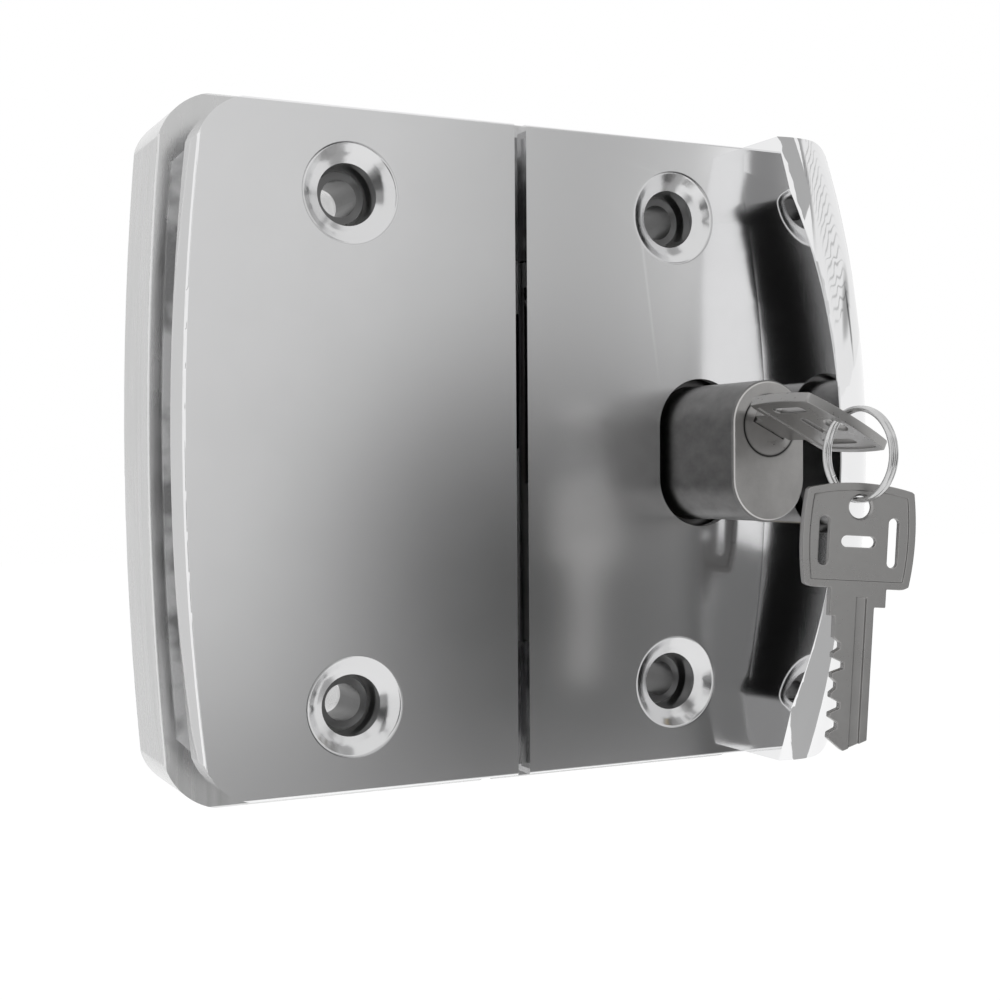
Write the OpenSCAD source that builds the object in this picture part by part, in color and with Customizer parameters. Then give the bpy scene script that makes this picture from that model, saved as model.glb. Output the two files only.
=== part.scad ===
// Sliding glass lock: a strike half and a lock half that clamp two sliding glass doors, with a key
// cylinder, a pivoting hook bolt driven by a toothed cam, a pull grip, and two keys on a split ring.
// X runs across the doors, Y into the scene, Z up. The origin is the seam centre at the glass mid-plane.

/* [Glass and seam] */
// Thickness of the door glass
glass_t = 8; // [6:0.5:10]
// Thickness of each soft sheet between a cover and the glass
gasket_t = 0.75; // [0.5:0.05:1.5]
// Gap between the two halves
seam = 3; // [2:0.5:6]

/* [Front covers] */
// Half of the front cover height
front_half_h = 75; // [70:1:90]
// Depth of the front cover
front_depth = 10.5; // [9.5:0.5:14]
// Outer edge of the strike front cover, from the seam centre
strike_front_x = 79.2; // [76:0.1:81]
// Radius of the curved outer edge of the strike front cover
strike_side_r = 569; // [400:1:900]
// Corner radius of the front covers
corner_r = 12.5; // [9:0.5:14]
// Straight right edge of the lock front cover, from the seam centre
lock_front_x = 62; // [60:0.5:64]
// Farthest right reach of the bulged edge of the lock front cover
lock_bulge_x = 68.2; // [66:0.1:70]
// Radius of that bulge
lock_bulge_r = 305; // [250:1:400]
// Bevel along the front edges
front_bevel = 0.6; // [0.2:0.1:1]

/* [Rear covers] */
// Half of the rear cover height
rear_half_h = 79.7; // [76:0.1:95]
// Depth of the rear cover
rear_depth = 25.5; // [22:0.5:32]
// Outer edge of the rear covers, from the seam centre
rear_x = 81.8; // [80:0.1:90]
// Radius of the curved outer edge of the rear covers
rear_side_r = 800; // [500:1:1200]
// Corner radius of the rear covers
rear_corner_r = 14; // [11:0.5:15]
// Rounding of the back edges of the rear covers
rear_round = 3; // [1.5:0.25:3.5]
// Rounding of the rim that faces the glass
rim_edge = 0.5; // [0.3:0.1:1]
// Wall of the rear covers
rear_wall = 4.5; // [4:0.25:5.5]

/* [Through bolts] */
// Bolt distance from the seam centre
bolt_x = 41.5; // [38:0.5:44]
// Bolt distance above and below the middle
bolt_z = 56.2; // [55:0.1:60]
// Diameter of the dished screw recess
recess_d = 21.1; // [19:0.1:24]
// Depth of the dished screw recess at its bore
recess_depth = 2.6; // [2:0.1:3.2]
// Diameter of the bolt wells in the rear covers
well_d = 16.6; // [14:0.2:16.6]
// Diameter of the bore in the front cover
bore_d = 13.8; // [13:0.1:15]
// Outer diameter of the steel sleeve
sleeve_od = 11.8; // [10.5:0.1:12.4]
// Inner diameter of the steel sleeve
sleeve_id = 8.4; // [6:0.1:9]
// Depth of the sleeve rim below the front face
sleeve_set = 8; // [6:0.5:9]
// Outer diameter of the plastic bush in the glass
bush_od = 14; // [13:0.1:15]

/* [Pull grip] */
// Farthest right reach of the grip
grip_x = 85.6; // [84:0.1:88]
// Depth of the grip crest, from the glass mid-plane
grip_crest = 44.6; // [40:0.1:50]
// Roundness of the grip in its cross section
grip_round = 19; // [17:0.5:20]
// Radius of the long arc of the grip
grip_arc_r = 191; // [170:1:230]
// Corner radius of the grip
grip_corner_r = 13.5; // [10:0.5:14]
// Wall of the grip casting
grip_wall = 3; // [2.5:0.1:4]

/* [Cylinder] */
// Cylinder centre, from the seam centre
cyl_x = 49; // [48:0.1:50]
// Cylinder centre height
cyl_z = -0.5; // [-1:0.1:0.5]
// Width of the oval cylinder
cyl_w = 20; // [19:0.1:21]
// Height of the oval cylinder
cyl_h = 32.4; // [31:0.1:34]
// Front face of the cylinder, from the glass mid-plane
cyl_face = 43.25; // [40:0.25:46]
// Gap between the cylinder and its hole in the cover
cyl_gap = 1.8; // [1:0.1:2.2]
// Diameter of the turning plug
plug_d = 14; // [13:0.1:14.4]
// Height of the plug centre
plug_z = 5.3; // [5:0.1:5.6]
// Turn of the key from upright in the stored pose
key_turn = 64; // [50:1:70]

/* [Hook] */
// Thickness of the hook and of the cam
hook_t = 5; // [4:0.25:5.5]
// Outer radius of the hook beak
hook_r = 34; // [33:0.1:34.4]
// Inner radius of the hook beak
beak_r = 26.5; // [26:0.1:27.5]
// Angle by which the beak tip leads the arm
beak_lead = 22; // [18:0.5:23]
// Radial play of turning fits
fit_play = 0.05; // [0.03:0.01:0.08]

/* [Key] */
// Width of the key bow
bow_w = 24.8; // [22:0.2:26]
// Length of the key bow
bow_l = 22.2; // [20:0.2:25]
// Thickness of the key
key_t = 2.2; // [2:0.1:2.4]
// Length of the key blade
blade_l = 27.4; // [27:0.1:30.5]
// Height of the key blade
blade_h = 8.6; // [8.2:0.1:8.8]
// Diameter of the ring hole in the bow
ring_hole_d = 4.8; // [4.6:0.1:5.2]

/* [Split ring] */
// Outer diameter of the split ring
ring_od = 20.5; // [20:0.1:21]
// Wire diameter of the split ring
ring_wire = 1.2; // [1.1:0.05:1.3]

/* [Hidden] */
$fn = 72;
eps = 0.01;
far = 400;

// Levels along Y
glass_y = glass_t / 2;
cover_y = glass_y + gasket_t;
front_y = -cover_y - front_depth;
rear_y = cover_y + rear_depth;
seam_x = seam / 2;
skin = 2.5;

corner_kiss = 12;
sheet_in = 1.5;
rear_sheet_in = 3.3;

// Through bolts
well_r = well_d / 2;
post_r = well_r + 1.6;
sleeve_seat = 1;
well_floor = 2.2;

// Works that fill the notch of the glass
plate_gap = 0.2;
face_t = 2.5;
face_x = seam_x + skin + plate_gap;
box_x = face_x + face_t;
box_half_h = plug_z + hook_r + 6.7;
box_end_x = 67.5;
box_wall = 2.5;
box_front_y = -6.5;
box_rear_y = 9.5;
floor_y = box_rear_y - box_wall;
lid_t = 2;
lid_y = box_front_y - lid_t;
pocket_play = 0.6;
core_end_x = 24.5;

// Screws of the two boxes and the two plates
core_screw_z = box_half_h - 5;
core_screw_spots = [[14.5, core_screw_z], [14.5, -22], [14.5, -core_screw_z]];
case_screw_z = box_half_h - 4.7;
case_screw_spots = [[56, case_screw_z], [34, case_screw_z], [56, -case_screw_z],
  [18, -case_screw_z]];
plate_screw_z = [box_half_h - 2.8, -30];
boss_r = 4.5;
screw_hole_r = 2.05;
plate_hole_r = 1.35;
face_slot_low_z = plug_z - 13;

// Tongue of the lock front cover and screws of the grip
tongue_t = 2.5;
tongue_end_x = grip_x - grip_wall - 0.2;
tongue_half_h = front_half_h - grip_wall - 0.2;
tongue_bevel = 7;
grip_screw_x = (lock_bulge_x + grip_x) / 2;
grip_screw_z = [-52, 0, 52];
grip_boss_y = -24;

// Toothed pair
tooth_m = 1.8;
cam_teeth = 21;
hook_teeth = 15;
pressure = 20;
cam_pitch_r = tooth_m * cam_teeth / 2;
hook_pitch_r = tooth_m * hook_teeth / 2;
plug_x = cyl_x + 0.1;
pivot_x = plug_x - cam_pitch_r - hook_pitch_r;
gear_ratio = cam_teeth / hook_teeth;
backlash = 0.35;
back_turn = 90 - key_turn;
arm_turn = 180 - gear_ratio * key_turn;
arm_lead_w = 3.8;
arm_trail_w = 5;
hook_hub_r = 7.5;
hook_pin_r = 3;
slot_half_w = hook_t / 2 + 0.9;
lock_slot_top_z = plug_z + hook_r + 0.7;
strike_slot_top_z = plug_z + sqrt(hook_r * hook_r - pow(pivot_x + face_x, 2)) + 1.2;

// Cylinder and plug
plug_r = plug_d / 2;
cyl_r = cyl_w / 2;
cyl_off = (cyl_h - cyl_w) / 2;
flange_t = 2;
flange_w = 30;
flange_h = 44;
flange_y = lid_y - flange_t;
cyl_rear_y = -5.5;
clip_t = 0.8;
clip_y = -5.4;
collar_y = -4;
tail_w = 7;
cam_hub_r = 9;
cam_first = 180 - 3.5 * 360 / cam_teeth;
cam_last = 180 + 5.5 * 360 / cam_teeth;
stop_r = 2;
stop_ring = 15;
stop_margin = asin(stop_r / stop_ring) + 2;
keyway_w = key_t + 0.24;
keyway_h = blade_h + 0.7;
blade_mid = -0.2;
keyway_end_y = -cyl_face + blade_l + 0.4;

// Pins of the cylinder
pin_count = 5;
pin_first = 5.2;
pin_last_in = 5.4;
pin_pitch = (blade_l - pin_first - pin_last_in) / (pin_count - 1);
pin_r = 1.4;
pin_len = 5;
pin_shear = 0.2;
cap_top_z = cyl_z - cyl_h / 2 + 1.7;

// Key
neck_l = 7;
stop_in = 3.1;
stop_low = -5.7;
stop_top = 6.6;
key_end = neck_l + bow_l;
ring_hole_in = 5.1;
hole_bevel = 0.4;
rim_w = 1.6;
rim_h = 0.35;
bow_corner = 3.2;
bow_end_r = 45;
bow_side_r = 60;
bow_slack = 0.3;
slot_mid = neck_l + 9.8;
slot_side = 7.6;
blade_low = blade_mid - blade_h / 2;
blade_top = blade_mid + blade_h / 2;

// Split ring and spare key
ring_mid_r = ring_od / 2 - ring_wire / 2;
wire_pitch = ring_wire * 0.88;
ring_drop = 7;
ring_reach = sqrt(ring_mid_r * ring_mid_r - ring_drop * ring_drop);
ring_yaw = 6;
spare_yaw = -18;
spare_lean = 3.5;
hole_y = -cyl_face - key_end + ring_hole_in;
ring_x = plug_x + ring_reach * sin(ring_yaw);
ring_y = hole_y - ring_reach * cos(ring_yaw);
ring_z = plug_z - ring_drop;
spare_hang = ring_hole_d / 2 - ring_wire / 2 - 0.35;

// Round bar along Y
module y_bar(r, y0, y1) {
  translate([0, y0, 0])
    rotate([-90, 0, 0])
      cylinder(r = r, h = y1 - y0);
}

// Round bar along X
module x_bar(r, x0, x1) {
  translate([x0, 0, 0])
    rotate([0, 90, 0])
      cylinder(r = r, h = x1 - x0);
}

// Cone along Y
module y_cone(r0, r1, y0, y1) {
  translate([0, y0, 0])
    rotate([-90, 0, 0])
      cylinder(r1 = r0, r2 = r1, h = y1 - y0);
}

// Flat outline in X and Z, thickened along Y
module y_slab(y0, y1) {
  translate([0, y1, 0])
    rotate([90, 0, 0])
      linear_extrude(height = y1 - y0)
        children();
}

// Block between two corners
module block(x0, x1, y0, y1, z0, z1) {
  translate([x0, y0, z0])
    cube([x1 - x0, y1 - y0, z1 - z0]);
}

module left_half() {
  mirror([1, 0, 0])
    children();
}

// Copies above and below the middle
module both_ends() {
  children();
  mirror([0, 0, 1])
    children();
}

module both_ends_flat() {
  children();
  mirror([0, 1])
    children();
}

module each_bolt(side) {
  for (s = [-1, 1])
    translate([side * bolt_x, 0, s * bolt_z])
      children();
}

// Inner outline with a curved right side and two bevelled corners
module side_outline(x_in, x_out, half_h, side_r, r, inset) {
  hi = half_h - inset;
  bevel = r - inset + 1;
  corner_x = x_out - side_r + sqrt(pow(side_r - inset, 2) - hi * hi);
  difference() {
    intersection() {
      translate([x_in + inset, -hi])
        square([x_out, 2 * hi]);
      translate([x_out - side_r, 0])
        circle(r = side_r - inset, $fn = 720);
    }
    both_ends_flat()
      polygon([[corner_x - bevel, hi + 1], [corner_x - bevel, hi], [corner_x + 1, hi - bevel - 1],
        [corner_x + 9, hi - bevel - 1], [corner_x + 9, hi + 1]]);
  }
}

// Right half of a cover: rounded edges along its top, bottom and curved side, and two round corners
module round_cover(x_in, x_out, half_h, side_r, r, y0, y1, edge0, edge1) {
  cx = x_out - side_r;
  round_r = r * 1.1;
  reach = round_r * cos(corner_kiss);
  zc = half_h - reach;
  xc = cx + sqrt(pow(side_r - reach, 2) - zc * zc);
  difference() {
    intersection() {
      translate([x_in, 0, 0])
        rotate([90, 0, 90])
          linear_extrude(height = x_out - x_in + 3)
            edge_profile(half_h, y0, y1, edge0, edge1, true);
      translate([cx, 0, 0])
        rotate([-90, 0, 0])
          rotate([0, 0, -20])
            rotate_extrude(angle = 40, $fn = 360)
              rotate([0, 0, 90])
                mirror([0, 1])
                  edge_profile(side_r, y0, y1, edge0, edge1, false);
    }
    both_ends()
      translate([xc, 0, zc])
        y_slab(y0 - 1, y1 + 1)
          difference() {
            square(2 * r);
            circle(r = round_r);
          }
  }
}

// Section of a cover edge: first axis is Y, second axis is the reach
module edge_profile(reach, y0, y1, edge0, edge1, both) {
  low = both ? -reach : 0;
  difference() {
    translate([y0, low])
      square([y1 - y0, reach - low]);
    edge_cut(reach, y0, y1, edge0, edge1);
    if (both)
      mirror([0, 1])
        edge_cut(reach, y0, y1, edge0, edge1);
  }
}

module edge_cut(reach, y0, y1, edge0, edge1) {
  difference() {
    translate([y0 - 1, reach - edge0])
      square([edge0 + 1, edge0 + 1]);
    translate([y0 + edge0, reach - edge0])
      circle(r = edge0);
  }
  difference() {
    translate([y1 - edge1, reach - edge1])
      square([edge1 + 1, edge1 + 1]);
    translate([y1 - edge1, reach - edge1])
      circle(r = edge1);
  }
}

// Dished screw recess and its bore: a bevelled lip, a steep wall and a flatter dish
module bolt_recess() {
  lip_r = recess_d / 2;
  rotate([-90, 0, 0])
    rotate_extrude()
      polygon([[0, front_y - 1], [lip_r + 2.8, front_y - 1], [lip_r, front_y + 0.4],
        [lip_r - 1.2, front_y + 1.4], [bore_d / 2, front_y + recess_depth],
        [bore_d / 2, -cover_y + 1], [0, -cover_y + 1]]);
}

module strike_front_cover() {
  color("silver")
    left_half()
      difference() {
        round_cover(seam_x, strike_front_x, front_half_h, strike_side_r, corner_r,
          front_y, -cover_y, front_bevel, 0.1);
        block(seam_x + skin, core_end_x + pocket_play, -cover_y - front_depth + skin,
          -cover_y + 1, -box_half_h - pocket_play, box_half_h + pocket_play);
        each_bolt(1)
          bolt_recess();
      }
}

// Hollow shell with a post and a deep bolt well at each bolt
module rear_shell() {
  difference() {
    union() {
      difference() {
        round_cover(seam_x, rear_x, rear_half_h, rear_side_r, rear_corner_r, cover_y, rear_y,
          rim_edge, rear_round);
        y_slab(cover_y - 1, rear_y - rear_wall)
          side_outline(seam_x, rear_x, rear_half_h, rear_side_r, rear_corner_r, rear_wall);
        block(seam_x + skin, box_end_x + pocket_play, cover_y - 1, box_rear_y,
          -box_half_h - pocket_play, box_half_h + pocket_play);
      }
      each_bolt(1)
        y_bar(post_r, cover_y, rear_y - rear_wall + 1);
    }
    each_bolt(1) {
      y_bar(sleeve_id / 2, cover_y - 1, rear_y);
      y_bar(sleeve_od / 2 + 0.1, cover_y - 1, cover_y + sleeve_seat);
      y_bar(well_r, cover_y + well_floor, rear_y + 1);
      y_cone(well_r - 0.4, well_r + 1, rear_y - 1, rear_y + 0.4);
    }
  }
}

module screw_boss(x, z) {
  translate([x, 0, z])
    difference() {
      y_bar(boss_r, box_rear_y, rear_y - rear_wall);
      y_bar(screw_hole_r, box_rear_y - 1, rear_y - rear_wall - 2);
    }
}

module strike_rear_cover() {
  color("silver")
    left_half() {
      rear_shell();
      for (p = core_screw_spots)
        screw_boss(p[0], p[1]);
    }
}

module lock_rear_cover() {
  color("silver") {
    rear_shell();
    for (p = case_screw_spots)
      screw_boss(p[0], p[1]);
  }
}

// Cast box behind the keeper plate; the hook turns inside it
module strike_core() {
  color("gray")
    left_half()
      difference() {
        block(box_x, core_end_x, box_front_y, box_rear_y, -box_half_h, box_half_h);
        block(box_x - 1, core_end_x - 3, -slot_half_w - 1, slot_half_w + 1,
          -12, strike_slot_top_z + 1);
        for (p = core_screw_spots)
          translate([p[0], 0, p[1]])
            y_bar(screw_hole_r, box_front_y - 1, box_rear_y + 1);
        for (z = plate_screw_z)
          translate([0, 0, z])
            x_bar(plate_hole_r, box_x - 1, box_x + 4);
      }
}

// Slotted plate with countersunk holes, at the seam side
module slotted_plate(slot_low_z, slot_top_z) {
  difference() {
    block(face_x, box_x, box_front_y, box_rear_y, -box_half_h, box_half_h);
    block(face_x - 1, box_x + 1, -slot_half_w, slot_half_w, slot_low_z, slot_top_z);
    for (z = plate_screw_z)
      translate([0, 0, z]) {
        x_bar(plate_hole_r, face_x - 1, box_x + 1);
        x_bar(2.45, face_x - 1, face_x + 1.2);
      }
  }
}

module plate_screw_set() {
  for (z = plate_screw_z)
    translate([0, 0, z])
      difference() {
        union() {
          x_bar(1.3, face_x + 0.5, box_x + 3.5);
          x_bar(2.4, face_x, face_x + 1.2);
        }
        block(face_x - 1, face_x + 0.6, -0.3, 0.3, -3, 3);
      }
}

module strike_plate() {
  color("lightgray")
    left_half()
      slotted_plate(plug_z - arm_lead_w - 0.7, strike_slot_top_z);
}

module strike_plate_screws() {
  color("gray")
    left_half()
      plate_screw_set();
}

// Cylinder-head screw along Y, with its head seated at a level
module head_screw(seat_y, tip_y, shank_r, head_r, head_h) {
  difference() {
    union() {
      y_bar(shank_r, seat_y - eps, tip_y);
      y_bar(head_r, seat_y - head_h, seat_y);
    }
    y_slab(seat_y - head_h - 1, seat_y - head_h * 0.4)
      circle(r = shank_r * 0.75, $fn = 6);
  }
}

module strike_core_screws() {
  color("gray")
    left_half()
      for (p = core_screw_spots)
        translate([p[0], 0, p[1]])
          head_screw(box_front_y, box_rear_y + 12, 2, 3.6, 2.2);
}

// Soft sheet with its window and bolt holes
module sheet_cut(window_x) {
  translate([-1, -box_half_h - pocket_play])
    square([window_x + pocket_play + 1, 2 * (box_half_h + pocket_play)]);
  for (s = [-1, 1])
    translate([bolt_x, s * bolt_z])
      circle(r = bush_od / 2 + 0.2);
}

module strike_front_gasket() {
  color("dimgray")
    left_half()
      y_slab(-cover_y, -glass_y)
        difference() {
          side_outline(seam_x, strike_front_x, front_half_h, strike_side_r, corner_r, sheet_in);
          sheet_cut(core_end_x);
        }
}

module strike_rear_gasket() {
  color("dimgray")
    left_half()
      y_slab(glass_y, cover_y)
        difference() {
          side_outline(seam_x, rear_x, rear_half_h, rear_side_r, rear_corner_r, rear_sheet_in);
          sheet_cut(core_end_x);
        }
}

module lock_front_gasket() {
  color("dimgray")
    y_slab(-cover_y, -glass_y)
      difference() {
        union() {
          intersection() {
            lock_outline();
            translate([seam_x + sheet_in, -front_half_h + sheet_in])
              square([far, 2 * (front_half_h - sheet_in)]);
          }
          tongue_outline(0);
        }
        sheet_cut(box_end_x);
        for (z = grip_screw_z)
          translate([grip_screw_x, z])
            circle(r = 3.4);
      }
}

module lock_rear_gasket() {
  color("dimgray")
    y_slab(glass_y, cover_y)
      difference() {
        side_outline(seam_x, rear_x, rear_half_h, rear_side_r, rear_corner_r, rear_sheet_in);
        sheet_cut(box_end_x);
      }
}

module sleeve_set_of(side) {
  each_bolt(side)
    difference() {
      y_bar(sleeve_od / 2, front_y + sleeve_set, cover_y + sleeve_seat);
      y_bar(sleeve_id / 2, front_y, rear_y);
    }
}

module strike_sleeves() {
  color("gray")
    sleeve_set_of(-1);
}

module lock_sleeves() {
  color("gray")
    sleeve_set_of(1);
}

module bush_set_of(side) {
  each_bolt(side)
    difference() {
      y_bar(bush_od / 2, -glass_y, glass_y);
      y_bar(sleeve_od / 2 + eps, -glass_y - 1, glass_y + 1);
    }
}

module strike_bushes() {
  color("white")
    bush_set_of(-1);
}

module lock_bushes() {
  color("white")
    bush_set_of(1);
}

// Outline of the lock front cover, with its bulged right edge
module lock_outline() {
  translate([seam_x, -front_half_h])
    square([lock_front_x - seam_x, 2 * front_half_h]);
  intersection() {
    translate([lock_front_x - eps, -front_half_h])
      square([lock_bulge_x, 2 * front_half_h]);
    translate([lock_bulge_x - lock_bulge_r, 0])
      circle(r = lock_bulge_r, $fn = 720);
  }
}

// Outline of the tongue that carries the grip
module tongue_outline(play) {
  x1 = tongue_end_x + play;
  hi = tongue_half_h + play;
  polygon([[lock_front_x - 1 - play, -hi], [x1 - tongue_bevel, -hi], [x1, tongue_bevel - hi],
    [x1, hi - tongue_bevel], [x1 - tongue_bevel, hi], [lock_front_x - 1 - play, hi]]);
}

module lock_front_cover() {
  color("silver")
    difference() {
      union() {
        intersection() {
          y_slab(front_y, -cover_y)
            lock_outline();
          translate([seam_x, 0, 0])
            rotate([90, 0, 90])
              linear_extrude(height = far)
                edge_profile(front_half_h, front_y, -cover_y, front_bevel, 0.1, true);
        }
        y_slab(-cover_y - tongue_t, -cover_y)
          tongue_outline(0);
      }
      block(seam_x + skin, box_end_x + pocket_play, -cover_y - tongue_t, -cover_y + 1,
        -box_half_h - pocket_play, box_half_h + pocket_play);
      block(seam_x + skin, lock_front_x - 1, front_y + skin, -cover_y + 1,
        -box_half_h - pocket_play, box_half_h + pocket_play);
      translate([cyl_x, 0, cyl_z])
        y_slab(front_y - 1, -cover_y)
          oval(cyl_w + 2 * cyl_gap, cyl_h + 2 * cyl_gap);
      each_bolt(1)
        bolt_recess();
      for (z = grip_screw_z)
        translate([grip_screw_x, 0, z]) {
          y_bar(1.65, -cover_y - tongue_t - 1, -cover_y + 1);
          y_bar(3.1, -cover_y - 1.5, -cover_y + 1);
        }
    }
}

// Upright oval outline
module oval(w, h) {
  off = (h - w) / 2;
  for (s = [-1, 1])
    translate([0, s * off])
      circle(r = w / 2);
  translate([-w / 2, -off])
    square([w, 2 * off]);
}

// Outline of the grip: right of the cover edge, with round outer corners
module grip_outline(inset) {
  r = grip_corner_r - inset;
  hi = front_half_h - inset;
  xo = grip_x - inset;
  difference() {
    union() {
      translate([lock_front_x + inset, -hi])
        square([xo - r - lock_front_x - inset, 2 * hi]);
      translate([lock_front_x + inset, -hi + r])
        square([xo - lock_front_x - inset, 2 * (hi - r)]);
      for (s = [-1, 1])
        translate([xo - r, s * (hi - r)])
          circle(r = r);
    }
    translate([0, -hi])
      square([lock_front_x + inset, 2 * hi]);
    translate([lock_bulge_x - lock_bulge_r, 0])
      circle(r = lock_bulge_r + inset + 0.05, $fn = 720);
  }
}

// Long curved body of the grip
module grip_sweep(inset) {
  arc_y = -grip_crest + grip_arc_r;
  base_r = grip_arc_r - grip_round;
  translate([0, arc_y, 0])
    rotate([0, 90, 0])
      rotate([0, 0, -90 - 32])
        rotate_extrude(angle = 64, $fn = 360) {
          translate([base_r, grip_x - grip_round])
            circle(r = grip_round - inset);
          translate([base_r - 60, grip_x - 2 * grip_round + inset])
            square([60, 2 * (grip_round - inset)]);
        }
}

module pull_grip() {
  color("silver") {
    difference() {
      intersection() {
        y_slab(-far, -cover_y)
          grip_outline(0);
        grip_sweep(0);
      }
      intersection() {
        y_slab(-far, -cover_y + 1)
          grip_outline(grip_wall);
        union() {
          grip_sweep(grip_wall);
          block(0, grip_x, -20, 0, -far, far);
        }
      }
      y_slab(-cover_y - tongue_t - 0.05, 0)
        tongue_outline(0.1);
    }
    for (z = grip_screw_z)
      translate([grip_screw_x, 0, z])
        difference() {
          y_bar(4, grip_boss_y, -cover_y - tongue_t - 0.05);
          y_bar(1.65, -20, 0);
        }
    for (z = grip_screw_z)
      grip_rib(z);
  }
}

// Web that ties a screw boss to the grip wall
module grip_rib(z) {
  intersection() {
    y_slab(-far, -cover_y)
      grip_outline(1);
    grip_sweep(1);
    block(lock_front_x, grip_screw_x - 3, grip_boss_y, -cover_y - tongue_t - 0.05, z - 1, z + 1);
  }
}

module pull_screws() {
  color("gray")
    for (z = grip_screw_z)
      translate([grip_screw_x, 0, z])
        difference() {
          union() {
            y_bar(1.6, -18, -cover_y - 0.5);
            y_bar(3, -cover_y - 1.5, -cover_y - 0.1);
          }
          block(-3, 3, -cover_y - 0.6, 0, -0.4, 0.4);
        }
}

module lock_case() {
  color("gray")
    difference() {
      block(box_x, box_end_x, box_front_y, box_rear_y, -box_half_h, box_half_h);
      difference() {
        block(box_x - 1, box_end_x - box_wall, box_front_y - 1, floor_y,
          -box_half_h + box_wall, plug_z + hook_r + 0.6);
        for (p = case_screw_spots)
          translate([p[0], 0, p[1]])
            y_bar(boss_r, box_front_y, floor_y);
        block(box_x, box_x + 5, box_front_y, floor_y, plate_screw_z[1] - 4,
          plate_screw_z[1] + 4);
      }
      for (p = case_screw_spots)
        translate([p[0], 0, p[1]])
          y_bar(screw_hole_r, box_front_y - 1, box_rear_y + 1);
      for (z = plate_screw_z)
        translate([0, 0, z])
          x_bar(plate_hole_r, box_x - 1, box_x + 4);
      translate([pivot_x, 0, plug_z])
        y_bar(hook_pin_r + 0.01, floor_y - 1, box_rear_y + 1);
      at_stops()
        y_bar(stop_r + 0.01, floor_y - 1, box_rear_y + 1);
    }
}

module at_stops() {
  for (a = [cam_first - key_turn - stop_margin, cam_last + back_turn + stop_margin])
    translate([plug_x + stop_ring * cos(a), 0, plug_z + stop_ring * sin(a)])
      children();
}

module stop_pins() {
  color("gray")
    at_stops()
      y_bar(stop_r, -hook_t / 2 - 0.5, box_rear_y);
}

module case_lid() {
  color("lightgray")
    difference() {
      block(box_x, lock_front_x - 2, lid_y, box_front_y, -box_half_h, box_half_h);
      translate([cyl_x, 0, cyl_z])
        y_slab(lid_y - 1, box_front_y + 1)
          oval(cyl_w + 0.1, cyl_h + 0.1);
      for (p = case_screw_spots)
        translate([p[0], 0, p[1]])
          y_bar(4.6, lid_y - 1, box_front_y + 1);
      translate([pivot_x, 0, plug_z])
        y_bar(hook_pin_r + 0.01, lid_y - 1, box_front_y + 1);
      at_flange_screws()
        y_bar(1.3, lid_y - 1, box_front_y + 1);
    }
}

module case_screws() {
  color("gray")
    for (p = case_screw_spots)
      translate([p[0], 0, p[1]])
        head_screw(box_front_y, box_rear_y + 12, 2, 3.6, 2.2);
}

module faceplate() {
  color("lightgray")
    slotted_plate(face_slot_low_z, lock_slot_top_z);
}

module faceplate_screws() {
  color("gray")
    plate_screw_set();
}

// Flat outline of an involute gear
module gear_outline(teeth) {
  pitch_r = tooth_m * teeth / 2;
  base_r = pitch_r * cos(pressure);
  tip_r = pitch_r + 0.9 * tooth_m;
  root_r = pitch_r - 1.2 * tooth_m;
  start_r = max(base_r, root_r);
  half_a = 90 / teeth - backlash / 2 / pitch_r * 180 / PI / 2;
  steps = 6;
  radii = [for (i = [0 : steps]) start_r + (tip_r - start_r) * i / steps];
  points = [for (k = [0 : teeth - 1]) each concat(
    [polar(root_r, k * 360 / teeth - flank(start_r, base_r, pitch_r, half_a))],
    [for (r = radii) polar(r, k * 360 / teeth - flank(r, base_r, pitch_r, half_a))],
    [for (i = [steps : -1 : 0])
      polar(radii[i], k * 360 / teeth + flank(radii[i], base_r, pitch_r, half_a))],
    [polar(root_r, k * 360 / teeth + flank(start_r, base_r, pitch_r, half_a))])];
  polygon(points);
}

function polar(r, a) = [r * cos(a), r * sin(a)];

function roll(r, base_r) = sqrt(max(pow(r / base_r, 2) - 1, 0));

function involute(r, base_r) = roll(r, base_r) * 180 / PI - atan(roll(r, base_r));

function flank(r, base_r, pitch_r, half_a) =
  half_a + involute(pitch_r, base_r) - involute(r, base_r);

// Wedge between two angles
module wedge(a0, a1, r) {
  mid = (a0 + a1) / 2;
  q = (a1 - a0) / 4;
  reach = r / cos(q);
  polygon([[0, 0], polar(r, a0), polar(reach, a0 + q), polar(r, mid), polar(reach, mid + q),
    polar(r, a1)]);
}

module hook_outline() {
  circle(r = hook_hub_r);
  intersection() {
    rotate([0, 0, 180 / hook_teeth])
      gear_outline(hook_teeth);
    wedge(-120, 72, 30);
  }
  rotate([0, 0, arm_turn])
    intersection() {
      translate([0, -arm_trail_w])
        square([hook_r, arm_trail_w + arm_lead_w]);
      circle(r = hook_r);
    }
  rotate([0, 0, arm_turn])
    intersection() {
      difference() {
        circle(r = hook_r);
        circle(r = beak_r);
      }
      wedge(-5, beak_lead, 60);
    }
}

module hook_bolt() {
  color("dimgray")
    translate([pivot_x, 0, plug_z])
      difference() {
        y_slab(-hook_t / 2, hook_t / 2)
          hook_outline();
        y_bar(hook_pin_r + fit_play, -hook_t, hook_t);
      }
}

module hook_pin() {
  color("lightgray")
    translate([pivot_x, 0, plug_z])
      y_bar(hook_pin_r, lid_y, box_rear_y);
}

module hook_spacers() {
  color("gray")
    translate([pivot_x, 0, plug_z])
      difference() {
        union() {
          y_bar(5.5, box_front_y, -hook_t / 2 - 0.3);
          y_bar(5.5, hook_t / 2 + 0.3, floor_y);
        }
        y_bar(hook_pin_r + 0.01, lid_y, box_rear_y);
      }
}

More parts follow.
